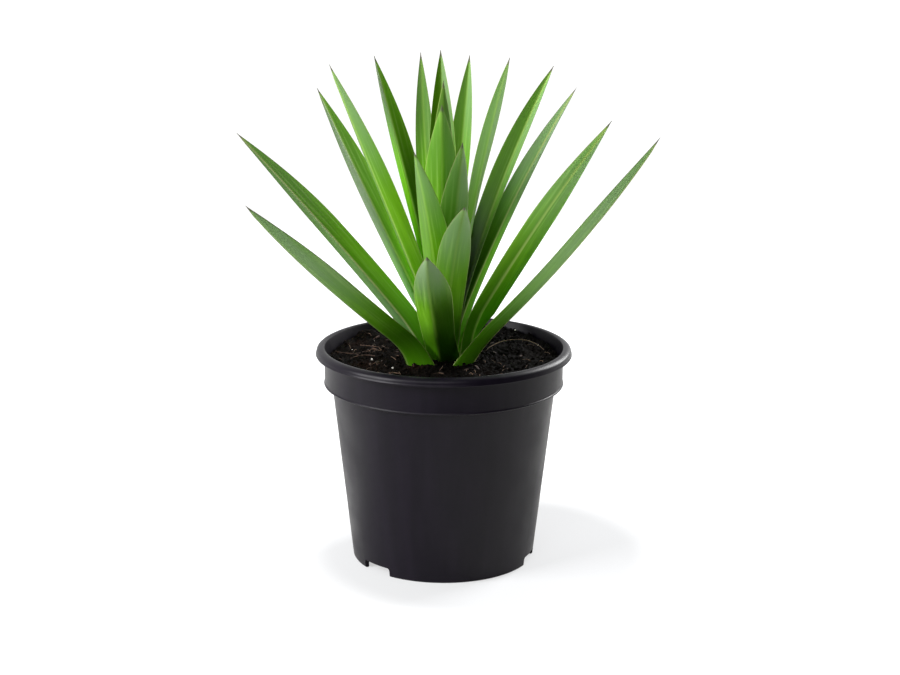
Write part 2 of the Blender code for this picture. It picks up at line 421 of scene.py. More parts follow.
@dataclass(frozen=True)
class WaxyLeaf:
    """Firm succulent leaf skin under a thin wax bloom.

    The long parallel veins show as fine streaks. Towards the tip a grey-green bloom colour lies over
    the green, partly wax bloom and partly a painted sheen. The blade glows yellow-green where light
    comes through it, a thin pale line runs along the margin and browns towards the tip, and the very
    tip is dry.

    Each half is a factor of painted light and shade on its colour at the base, the same at the tip, and
    how much bloom, partly a painted sheen, it has at the tip; the first is the clockwise one. The field
    after the halves is where the bloom begins, and the painted shade turns from the base's factor to
    the tip's from a little before it on.
    """

    name: str
    tone: Tone
    halves: tuple[Triple, Triple]
    bloom_and_shade_from: float = 0.3
    rib_line: float = 0.2
    roughness: float = 0.38
    streak_mm: float = 1.5
    streak_runs: float = 2.5
    mottle_mm: float = 6.0
    mottle_runs: float = 2.0
    vein_depth: float = 0.12 * MM
    glow: float = 0.30
    # grey-green wax bloom, partly a painted sheen
    bloom_and_sheen_colour: str = "#a8bca0"
    tip_colour: str = "#6b5f58"

    def build(self) -> Material:
        """Make the material.

        Returns:
            The finished material.
        """
        greens = self.tone.value
        made, tree, shader = new_material(self.name)
        rim, span, along, across = (
            add_node(tree, "Attribute", settings={"attribute_name": mark}, out="Fac")
            for mark in BLADE_MARKS
        )
        rib = add_node(tree, "Math", (span,), {"operation": "ABSOLUTE"})
        blade = add_node(tree, "CombineXYZ", (span, along))
        stretches = ((self.streak_mm, self.streak_runs), (self.mottle_mm, self.mottle_runs))
        grains = (
            add_node(tree, "Mapping", {"Vector": blade, "Scale": (1 / width, runs, 1.0)})
            for width, runs in stretches
        )
        streaks, cloud = (
            add_node(tree, "TexNoise", {"Vector": grain, "Scale": 1.0, "Detail": 2.0})
            for grain in grains
        )
        flesh = (
            (cloud, 0.35, 0.65, 0, 1, greens.flesh),
            (streaks, 0.48, 0.3, 0, 0.7, greens.deep),
            (streaks, 0.52, 0.7, 0, 0.55, greens.streak),
            # painted shade: the blade darkens towards its base
            (along, 0.05, 0.5, 0.9, 0, greens.painted_base_shade),
        )
        colour = layered(tree, greens.deep, flesh)
        # painted light and shade: each half of the blade made lighter or darker, at its base and at its
        # tip
        shade_at_base, shade_at_tip, blooms_and_sheens = (
            add_node(tree, "MapRange", (across, -0.2, 0.2, *ends), SOFT)
            for ends in zip(*self.halves)
        )
        waxed, clouded, shade_ramp, relief, rough = (
            add_node(tree, "MapRange", ends, SOFT)
            for ends in (
                (along, self.bloom_and_shade_from, self.bloom_and_shade_from + 0.45),
                (cloud, 0.3, 0.7, 1.15, 0.75),
                (along, self.bloom_and_shade_from - 0.1, self.bloom_and_shade_from + 0.3),
                (along, 0.35, 0.8, 0.25, 0.0),
                (streaks, 0.3, 0.7, self.roughness - 0.05, self.roughness + 0.08),
            )
        )
        # wax bloom, partly a painted sheen, laid over the green towards the tip
        wax_and_sheen = add_node(tree, "Math", (waxed, blooms_and_sheens), {"operation": "MULTIPLY"})
        wax_and_sheen = add_node(tree, "Math", (wax_and_sheen, clouded), {"operation": "MULTIPLY"})
        colour = add_node(tree, "Mix", {0: wax_and_sheen, 6: colour, 7: self.bloom_and_sheen_colour}, COLOURS, out=2)
        colour = layered(tree, colour, ((rib, 1.5, 0.4, 0, self.rib_line, greens.margin),))
        # painted light and shade: the colour is scaled by a factor that runs from the base's to the
        # tip's
        painted_shade = add_node(tree, "Mix", {0: shade_ramp, 2: shade_at_base, 3: shade_at_tip})
        shaded = {"Vector": colour, "Scale": painted_shade}
        colour = add_node(tree, "VectorMath", shaded, {"operation": "SCALE"})
        edging = layered(tree, greens.margin, ((along, 0.45, 0.9, 0, 1, greens.dry),))
        ends = ((rim, 0.55, 0.1, 0, 0.75, edging), (along, 0.965, 0.985, 0, 1, self.tip_colour))
        bump = {"Strength": relief, "Distance": self.vein_depth, "Height": streaks}
        normal = add_node(tree, "Bump", bump)
        looks = {
            "Base Color": layered(tree, colour, ends),
            "Roughness": rough,
            "IOR": 1.45,
            "Specular IOR Level": 0.15,
            "Normal": normal,
        }
        feed(tree, shader, looks)
        through = add_node(tree, "BsdfTranslucent", {"Color": greens.through, "Normal": normal})
        body = add_node(tree, "MixShader", (self.glow, shader.outputs["BSDF"], through))
        feed(tree, tree.nodes["Material Output"], {"Surface": body})
        return made


# ---- pot


@dataclass
class NurseryPot:
    """The round black nursery pot: a turned shell with foot notches and drain holes."""

    height: float = 164 * MM
    rim_radius: float = 96.1 * MM
    lip_radius: float = 89.2 * MM
    collar_radius: float = 89.5 * MM
    collar_drop: float = 28.6 * MM
    body_top_radius: float = 84.0 * MM
    foot_radius: float = 68.8 * MM
    wall: float = 2.0 * MM
    foot_wall: float = 3.4 * MM
    floor_underside: float = 7.0 * MM
    floor_thickness: float = 2.0 * MM
    notch_compasses: tuple[float, ...] = (-136.5, -16.5, 103.5)
    notch_width: float = 27 * MM
    notch_height: float = 6.8 * MM
    notch_depth: float = 16 * MM
    notch_corner: float = 1.8 * MM
    foot_corner_mm: float = 1.6
    drain_count: int = 6
    drain_radius: float = 4.5 * MM
    drain_ring: float = 38 * MM
    steps: int = 180
    finish: MouldedPolypropylene = MouldedPolypropylene()

    def outline(self) -> list[Pair]:
        """The half section, from the floor's underside out, up over the rim and back in.

        Returns:
            Points of radius and height in metres, in order.
        """
        top = self.height
        step = top - self.collar_drop
        inner = self.foot_radius - self.foot_wall
        floor_top = self.floor_underside + self.floor_thickness
        floor_edge = blend(self.foot_radius, self.body_top_radius, floor_top / step)
        # Each run starts from a radius and a height and goes on by millimetres out and up: the
        # foot, the step under the collar, its bead, the foot of the rim, the rolled rim, its lip.
        under = ((-0.05, -1.0), (0.25, -0.3), (0.9, 0.0))
        bead = ((-1.3, 0.0), (-0.2, 0.05), (0.4, 0.4), (0.6, 0.9), (0.4, 1.4), (0.0, 1.8))
        foot = ((0.15, -7.0), (0.6, -5.0), (2.0, -4.2))
        roll = ((-2.2, -4.6), (-1.5, -5.6), (-0.8, -6.1), (-0.25, -6.0), (0.0, -5.5))
        roll += ((-0.05, -5.1), (-0.4, -4.6), (-0.45, -3.8), (-0.6, -3.0), (-1.0, -1.9))
        roll += ((-2.0, -1.0), (-3.3, -0.35), (-4.6, 0.0))
        lip = ((1.1, -0.05), (0.4, -0.4), (0.0, -1.3))
        corner = [
            (self.foot_corner_mm * sin(turn), self.foot_corner_mm * (1 - cos(turn)))
            for turn in (radians(22), radians(45), radians(68), radians(90))
        ]
        points = [(0.0, self.floor_underside)]
        for radius, height, run in (
            (inner, self.floor_underside, ((-1.0, 0.0), (0.0, -1.0))),
            (inner, 0.0, ((0.0, 0.4), (0.4, 0.0))),
            (self.foot_radius - 1.5 * MM, 0.0, [(0.0, 0.0), *corner]),
            (self.body_top_radius, step, under),
            (self.collar_radius, step, bead),
            (self.collar_radius, top, foot),
            (self.rim_radius, top, roll),
            (self.lip_radius, top, lip),
            (self.collar_radius - self.wall, step + self.wall, ((0.0, 0.0),)),
            (self.body_top_radius - self.wall, step - self.wall, ((0.0, 0.0),)),
            (floor_edge - self.wall, floor_top, ((0.0, 0.0),)),
        ):
            points += [(radius + out * MM, height + up * MM) for out, up in run]
        return [*points, (0.0, floor_top)]

    def turn_shell(self) -> Object:
        """Extrude the half section vertex by vertex and spin it round the axis.

        Returns:
            The closed shell, still without notches and holes.
        """
        bpy.ops.mesh.primitive_plane_add(size=1 * MM)
        shell = start_piece("pot_shell")
        points = self.outline()
        bpy.ops.object.mode_set(mode="EDIT")
        bpy.ops.mesh.select_all(action="SELECT")
        bpy.ops.mesh.merge(type="CENTER")
        bpy.ops.transform.translate(value=(points[0][0], 0, points[0][1]))
        for (near, low), (far, high) in zip(points, points[1:]):
            bpy.ops.mesh.extrude_vertices_move(
                TRANSFORM_OT_translate={"value": (far - near, 0, high - low)}
            )
        bpy.ops.mesh.select_all(action="SELECT")
        bpy.ops.mesh.spin(steps=self.steps, angle=2 * pi, center=(0, 0, 0), axis=(0, 0, 1))
        bpy.ops.object.mode_set(mode="OBJECT")
        close_skin(shell, 0.01 * MM)
        return shell

    def cut(self, shell: Object, tool: Object) -> None:
        """Take a tool's shape out of the shell and remove the tool."""
        pick(shell)
        cutter = shell.modifiers.new("cut", "BOOLEAN")
        cutter.operation = "DIFFERENCE"
        cutter.solver = "EXACT"
        cutter.object = tool
        bpy.ops.object.modifier_apply(modifier="cut")
        bpy.data.objects.remove(tool, do_unlink=True)

    def notch_tool(self, compass: float) -> Object:
        """A block with rounded upper corners, set across the foot at a compass angle."""
        turn = radians(compass)
        bpy.ops.mesh.primitive_cube_add(
            size=1,
            location=(self.foot_radius * cos(turn), self.foot_radius * sin(turn), 0),
            rotation=(0, 0, turn),
        )
        tool = start_piece("notch_tool")
        tool.scale = (self.notch_depth, self.notch_width, 2 * self.notch_height)
        settle(tool)
        corners = tool.modifiers.new("corners", "BEVEL")
        corners.width = self.notch_corner
        corners.segments = 4
        bpy.ops.object.modifier_apply(modifier="corners")
        return tool

    def drain_tool(self, index: int) -> Object:
        """A drill through the floor at one place in the ring of drain holes."""
        turn = 2 * pi * (index + 0.5) / self.drain_count
        middle = self.floor_underside + self.floor_thickness / 2
        bpy.ops.mesh.primitive_cylinder_add(
            vertices=32,
            radius=self.drain_radius,
            depth=4 * self.floor_thickness,
            location=(self.drain_ring * cos(turn), self.drain_ring * sin(turn), middle),
        )
        tool = start_piece("drain_tool")
        settle(tool)
        return tool

    def build(self) -> None:
        """Turn the shell, cut its notches and holes, and dress it."""
        shell = self.turn_shell()
        for compass in self.notch_compasses:
            self.cut(shell, self.notch_tool(compass))
        for index in range(self.drain_count):
            self.cut(shell, self.drain_tool(index))
        smooth_shade(shell, 38)
        hand_over(shell, self.finish.build(), "pot")


# ---- soil


@dataclass
class SoilBed:
    """The potting mix: its uneven top, loose crumbs, perlite, bark chips and fine roots."""

    crown_height: float = 152.6 * MM
    wall_rise: float = 1.5 * MM
    back_rise: float = 5.5 * MM
    tilt: float = 0.5 * MM
    reach: float = 86.6 * MM
    skirt_height: float = 140 * MM
    skirt_from: float = 0.985
    rings: int = 130
    spokes: int = 360
    # Each gentle mound's place across and back, its two reaches and its height, in millimetres.
    mounds: tuple[tuple[float, ...], ...] = (
        (54, 24, 20, 15, 2.8), (-60, 58, 8, 6, 5.0), (80, -8, 7, 9, 1.8), (-2, -10, 30, 26, 3.6),
        (-52, 8, 16, 12, 1.2), (4, -52, 22, 12, 1.0), (-12, -24, 15, 11, 2.5),
    )
    crumb_count: int = 1500
    crumb_gap: float = 2.5 * MM
    stem_gap: float = 20 * MM
    bark_count: int = 38
    bark_ring: Pair = (36, 80)
    fibre_count: int = 70
    fibre_ring: Pair = (34, 80)
    # Each grain's place across and back, and its size, in millimetres.
    perlite: tuple[Triple, ...] = (
        (-54, -2, 1.5), (-38, -26, 1.9), (-54, 44, 1.2), (33, -52, 1.7), (41, -50, 1.3),
        (56, 66, 1.2), (44, -47, 0.9), (-70, 22, 0.9), (72, 30, 1.0), (20, -60, 0.8),
        (-16, -58, 0.8), (10, 66, 1.3), (-24, 62, 1.1), (66, -28, 0.9),
    )
    finish: PottingMix = PottingMix()

    def level(self, x: float, y: float) -> float:
        """The height of the bed without its fine crumbs, in metres."""
        share = hypot(x, y) / self.reach
        rise = 1.1 * MM * noise.noise(Vector((x, y, 0)) / (24 * MM) + Vector((4, 1, 0)))
        slope = self.tilt * x / self.reach + self.wall_rise * share**2
        slope += self.back_rise * smooth(0.1, 1.0, y / self.reach)
        swell = 0.0
        for across, back, wide, deep, tall in self.mounds:
            away = ((x / MM - across) / wide) ** 2 + ((y / MM - back) / deep) ** 2
            swell += tall * MM * exp(-away)
        return self.crown_height + slope + rise + swell

    def crumbled(self, x: float, y: float) -> float:
        """The height of the bed with its lumps, pits and grit, in metres."""
        spot = Vector((x, y, 0.0))
        clods = noise.noise(spot / (8 * MM)) * 1.2 * MM
        crumbs = abs(noise.noise(spot / (3.4 * MM) + Vector((9, 2, 5)))) * 2.8 * MM - 1.0 * MM
        grit = noise.noise(spot / (1.3 * MM) + Vector((3, 7, 1))) * 0.55 * MM
        return self.level(x, y) + clods + crumbs + grit

    def build_bed(self) -> Object:
        """Shape a grid, wrapped into a disc, into the bed's uneven top and hidden side.

        Returns:
            The closed bed.
        """
        bpy.ops.mesh.primitive_grid_add(x_subdivisions=self.spokes, y_subdivisions=self.rings, size=1)
        bed = start_piece("soil_bed")
        for vertex in bed.data.vertices:
            turn = 2 * pi * (vertex.co.x + 0.5)
            share = vertex.co.y + 0.5
            out = self.reach * min(1.0, share / self.skirt_from)
            x, y = out * cos(turn), out * sin(turn)
            sunk = smooth(self.skirt_from, 1.0, share)
            vertex.co = (x, y, blend(self.crumbled(x, y), self.skirt_height, sunk))
        close_skin(bed, 0.02 * MM)
        smooth_shade(bed, 80)
        return bed

    def strew(
        self, name: str, places: Sequence[Matrix], lift: float, finenesses: Sequence[int], seed: int
    ) -> Object:
        """Push a few icospheres in and out, copy them to the places in turn and join the copies.

        Args:
            name: the joined piece's name.
            places: one matrix for each copy.
            lift: how far a lump's skin moves, as a share of its radius.
            finenesses: how often each lump's icosphere is subdivided.
            seed: shifts the first lump's pattern; each further lump's is one higher.

        Returns:
            The joined piece.
        """
        lumps = []
        for shift, fineness in enumerate(finenesses, seed):
            bpy.ops.mesh.primitive_ico_sphere_add(subdivisions=fineness, radius=1)
            lumps.append(start_piece(f"{name}_{shift}"))
            for vertex in lumps[-1].data.vertices:
                way = vertex.co.normalized()
                push = noise.noise(way * 1.7 + Vector((shift * 3.1, shift, 0)))
                vertex.co = way * (1 + lift * push)
        copies = []
        for index, place in enumerate(places):
            copy = lumps[index % len(lumps)].copy()
            copy.data = copy.data.copy()
            copy.matrix_world = place
            bpy.context.collection.objects.link(copy)
            copies.append(copy)
        joined = join(name, copies)
        for lump in lumps:
            bpy.data.objects.remove(lump, do_unlink=True)
        return joined

    def spot(self, x: float, y: float, sink: float, scale: Vector, turn: Euler) -> Matrix:
        """The matrix that lays a lump on the bed, sunk by a length in metres."""
        place = Matrix.Translation((x, y, self.crumbled(x, y) - sink))
        return place @ turn.to_matrix().to_4x4() @ Matrix.Diagonal(scale).to_4x4()

    def build_crumbs(self, chance: random.Random) -> None:
        """Loose peat crumbs of many sizes all over the bed."""
        places = []
        while len(places) < self.crumb_count:
            turn = chance.uniform(0, 2 * pi)
            out = (self.reach - self.crumb_gap) * chance.random() ** 0.5
            if out < self.stem_gap:
                continue
            size = (0.45 + 1.5 * chance.random() ** 3.2) * MM
            scale = Vector([size * chance.uniform(0.7, 1.3) for _ in range(3)])
            tilt = Euler([chance.uniform(0, 2 * pi) for _ in range(3)])
            places.append(self.spot(out * cos(turn), out * sin(turn), 0.1 * size, scale, tilt))
        crumbs = self.strew("soil_crumbs", places, 0.8, (1, 2, 1, 2, 1), 0)
        hand_over(crumbs, self.finish.build())

    def build_perlite(self, chance: random.Random) -> None:
        """White perlite grains that lie proud of the bed."""
        places = []
        for x, y, size in self.perlite:
            scale = Vector([size / 2 * MM * chance.uniform(0.8, 1.2) for _ in range(3)])
            tilt = Euler([chance.uniform(0, 2 * pi) for _ in range(3)])
            places.append(self.spot(x * MM, y * MM, -0.25 * size * MM, scale, tilt))
        grains = self.strew("perlite_grains", places, 0.6, (2, 2, 2, 2), 9)
        smooth_shade(grains, 40)
        hand_over(grains, PERLITE.build())

    def build_bark(self, chance: random.Random) -> None:
        """Flat slivers of bark, most of them on the left of the bed."""
        places = []
        for index in range(self.bark_count):
            left = index % 3 > 0
            turn = radians(chance.uniform(130, 235) if left else chance.uniform(-100, 110))
            out = chance.uniform(*self.bark_ring) * MM
            length = chance.uniform(1.2, 3.6) * MM
            scale = Vector((length, length * chance.uniform(0.2, 0.45), 0.45 * MM))
            tilt = Euler((chance.uniform(-0.5, 0.5), chance.uniform(-0.4, 0.4), chance.uniform(0, pi)))
            places.append(self.spot(out * cos(turn), out * sin(turn), -0.2 * MM, scale, tilt))
        chips = self.strew("bark_chips", places, 0.55, (2, 2, 2, 2), 20)
        smooth_shade(chips, 45)
        hand_over(chips, BARK.build())

    def strand(self, name: str, points: Sequence[Triple], width: float) -> Object:
        """A fine root lying on the bed, as a tapered tube along a smooth curve.

        Args:
            name: the root's name.
            points: places in millimetres across, back and above the bed.
            width: its thickness in metres.

        Returns:
            The root as a mesh.
        """
        bpy.ops.curve.primitive_nurbs_path_add(radius=1)
        root = start_piece(name)
        root.data.splines.clear()
        line = root.data.splines.new("NURBS")
        line.points.add(len(points) - 1)
        for index, (x, y, lift) in enumerate(points):
            height = self.level(x * MM, y * MM) + lift * MM
            line.points[index].co = (x * MM, y * MM, height, 1)
            line.points[index].radius = 1.0 - 0.5 * index / len(points)
        line.use_endpoint_u = True
        line.order_u = 3
        root.data.resolution_u = 6
        root.data.bevel_depth = width / 2
        root.data.bevel_resolution = 2
        root.data.use_fill_caps = True
        bpy.ops.object.convert(target="MESH")
        root = start_piece(name)
        settle(root)
        smooth_shade(root, 60)
        return root

    def build_roots(self) -> None:
        """One long pale root on the right of the bed, and short brown ones on the left."""
        long_root = ((34, 24, 1.0), (40, 31, 1.9), (48, 36, 2.2), (56, 38, 1.9), (62, 36, 2.3))
        long_root += ((68, 30, 2.0), (73, 24, 1.6), (76, 18, 0.8))
        root = self.strand("long_root", long_root, 0.75 * MM)
        hand_over(root, PALE_ROOT.build())
        shorts = (
            ((-82, 14, 1.0), (-76, 9, 1.8), (-69, 8, 1.5), (-63, 11, 1.2)),
            ((-70, -4, 1.2), (-64, 2, 2.0), (-57, 4, 1.4), (-52, 2, 1.0)),
            ((-64, 30, 1.0), (-57, 26, 2.0), (-50, 27, 1.0)),
        )
        finish = BROWN_ROOT.build()
        for index, points in enumerate(shorts):
            hand_over(self.strand(f"short_root_{index + 1}", points, 0.8 * MM), finish)

    def build_fibres(self, chance: random.Random) -> None:
        """Fine short peat fibres, bent a little, all over the bed."""
        fibres = []
        for index in range(self.fibre_count):
            turn = chance.uniform(0, 2 * pi)
            out = chance.uniform(*self.fibre_ring)
            x, y = out * cos(turn), out * sin(turn)
            heading = chance.uniform(0, pi)
            half = chance.uniform(1.5, 4.5)
            ahead, aside = half * cos(heading), half * sin(heading)
            bow = chance.uniform(-0.6, 0.6)
            points = (
                (x - ahead, y - aside, chance.uniform(0.6, 1.4)),
                (x - bow * aside, y + bow * ahead, chance.uniform(1.6, 2.6)),
                (x + ahead, y + aside, chance.uniform(0.6, 1.4)),
            )
            fibres.append(self.strand(f"fibre_{index + 1}", points, 0.3 * MM))
        hand_over(join("peat_fibres", fibres), PEAT_FIBRE.build())

    def build(self) -> None:
        """Make the bed and everything that lies on it."""
        chance = random.Random(SEED)
        hand_over(self.build_bed(), self.finish.build(), "soil")
        self.build_crumbs(chance)
        self.build_perlite(chance)
        self.build_bark(chance)
        self.build_fibres(chance)
        self.build_roots()


# ---- plant


@dataclass(frozen=True)
class LeafForm:
    """One blade: angles in degrees, lengths in millimetres.

    compass is the way it points, from +X towards +Y, and rise its slope, both at mid-length.
    bend and sweep are how much rise and compass change from base to tip. roll turns the blade
    about its midrib at the base, and tip_roll at the tip. fold is how steeply its halves rise.
    tone, halves and the bloom's start go to its WaxyLeaf: halves gives each half its painted light and
    shade and its bloom, partly a painted sheen. rib_at moves the midrib off the middle, as a share of
    the half width. lean is how much more steeply its clasping base stands. root_out moves its root away
    from the plant's axis and root_turn round it. rib_line is how strongly a pale line shows along the
    midrib.
    """

    compass: float
    rise: float
    length: float
    width: float
    bend: float
    sweep: float
    roll: float
    tip_roll: float
    fold: float
    tone: Tone
    halves: tuple[Triple, Triple]
    bloom_and_shade_from: float = 0.3
    rib_at: float = 0.0
    lean: float = 26.0
    root_out: float = 0.0
    root_turn: float = 0.0
    rib_line: float = 0.2


OLD, GROWN, YOUNG = Tone.OLD, Tone.GROWN, Tone.YOUNG
# From the oldest leaf, lowest on the stem, to the youngest in the heart.
#    compass rise length width bend sweep roll tip_roll fold, tone, its two halves' painted light and
#    shade and bloom, the start of the bloom and the painted shade, rib_at lean root_out root_turn
#    rib_line
LEAF_FORMS = (
    LeafForm(
        -131, 38.5, 231, 28, 7, 1.5, 7.5, 6.5, 27,
        OLD, ((0.6, 0.65, 0.1), (1.4, 1.4, 0.3)), 0.3, -0.25, 48, 4, rib_line=0.3,
    ),
    LeafForm(
        -13, 50.5, 224.5, 25.5, 14.5, 4, -10, -21.5, 27.5,
        OLD, ((2.8, 2.4, 0.3), (1.6, 1.3, 0.15)), 0.1, 0, 16, 4.5, -29, 0.9,
    ),
    LeafForm(89, 34, 229, 16, -6, 0, -6, -6, 26, OLD, ((0.8, 1, 0.2), (0.8, 1, 0.2))),
    LeafForm(
        150, 41, 230, 27, -5, 1, -19, -1, 26,
        OLD, ((1.5, 1.2, 0.1), (1.15, 0.9, 0.05)), 0.4, rib_line=0.8,
    ),
    LeafForm(-93, 31, 226, 28, 0, 2, 15, -9, 26, GROWN, ((1.8, 1.1, 0.5), (0.2, 1.1, 0.5)), 0.5, -0.12),
    LeafForm(89, 43, 222, 14, -6, 0, 12, 10, 26, GROWN, ((0.8, 1, 0.2), (0.8, 1, 0.2))),
    LeafForm(-86, 39, 228, 24, -19, 2, -14, 7, 26, GROWN, ((1.1, 1.2, 0.35), (1.8, 1.6, 0.35)), 0.4),
    LeafForm(
        48.5, 51, 231, 25, -12.5, -3.5, -5, -18, 27.5,
        OLD, ((5, 1.35, 0.45), (0.1, 1.3, 0.35)), 0.3, 0.1, rib_line=0.8,
    ),
    LeafForm(-97, 48, 232, 25, -13, -6, -7, -35, 26, YOUNG, ((1.2, 0.95, 0.2), (1.6, 1.5, 0.3)), 0.5),
    LeafForm(
        -35.5, 55.5, 217.5, 22, -5, -7, -52.5, -14, 20,
        GROWN, ((0.7, 1.5, 0.2), (2, 2.4, 0.25)), 0.35, -0.3, 44, 7, 5.5, 0.7,
    ),
    LeafForm(
        46, 60.5, 226, 25.5, -17, -1.5, -20, 0, 26,
        GROWN, ((0.15, 1.6, 0.25), (0.1, 0.7, 0.05)), 0.35, rib_line=0.5,
    ),
    LeafForm(-85, 53, 213, 24, -9, 1, 9, 16, 26, GROWN, ((0.5, 1.05, 0.2), (0.4, 1.35, 0.35)), 0.5),
    LeafForm(
        130.5, 49.5, 226, 26, -6, -9.5, -14, 18, 26.5,
        GROWN, ((3, 1.7, 0.05), (2.5, 0.65, 0.05)), 0.2, rib_line=0.5,
    ),
    LeafForm(80, 62.5, 223, 21, -12, 5, -26, -12, 31, YOUNG, ((1.5, 1.1, 0.4), (0.2, 0.65, 0.1)), 0.5),
    LeafForm(-91, 60.5, 216, 28.5, -10, 2, 7, 4, 28, YOUNG, ((1.3, 1.25, 0.1), (0.3, 1.35, 0.1)), 0.5),
    LeafForm(
        9.5, 78.5, 209, 22.5, -5, 2, -20, 37, 25.5,
        YOUNG, ((1.3, 0.65, 0.4), (1.2, 0.7, 0.2)), 0.2, 0.2, rib_line=0.3,
    ),
    LeafForm(100, 62.5, 221, 17, -3, -10, -20, -7, 30, GROWN, ((0.9, 0.85, 0.1), (3.2, 1.1, 0.2)), 0.5),
    LeafForm(
        -148, 66, 223, 25, -1, 0, 14, 2, 26,
        YOUNG, ((0.8, 0.95, 0.3), (1.15, 1, 0.4)), 0.5, rib_line=0.5,
    ),
    LeafForm(
        135.5, 70, 210, 23.5, -14, -19, -10, 10, 29,
        YOUNG, ((0.4, 1.4, 0.05), (3.4, 0.5, 0.25)), 0.6, rib_line=0.4,
    ),
    LeafForm(-91, 73, 200, 20, -4, 1, 3, 14, 30, YOUNG, ((0.6, 0.55, 0.1), (0.8, 0.7, 0.1)), 0.5),
    LeafForm(96.5, 82.5, 203, 22.5, -4, 8, 7, -17, 30, YOUNG, ((0.7, 0.9, 0.4), (0.9, 0.5, 0)), 0.5),
)


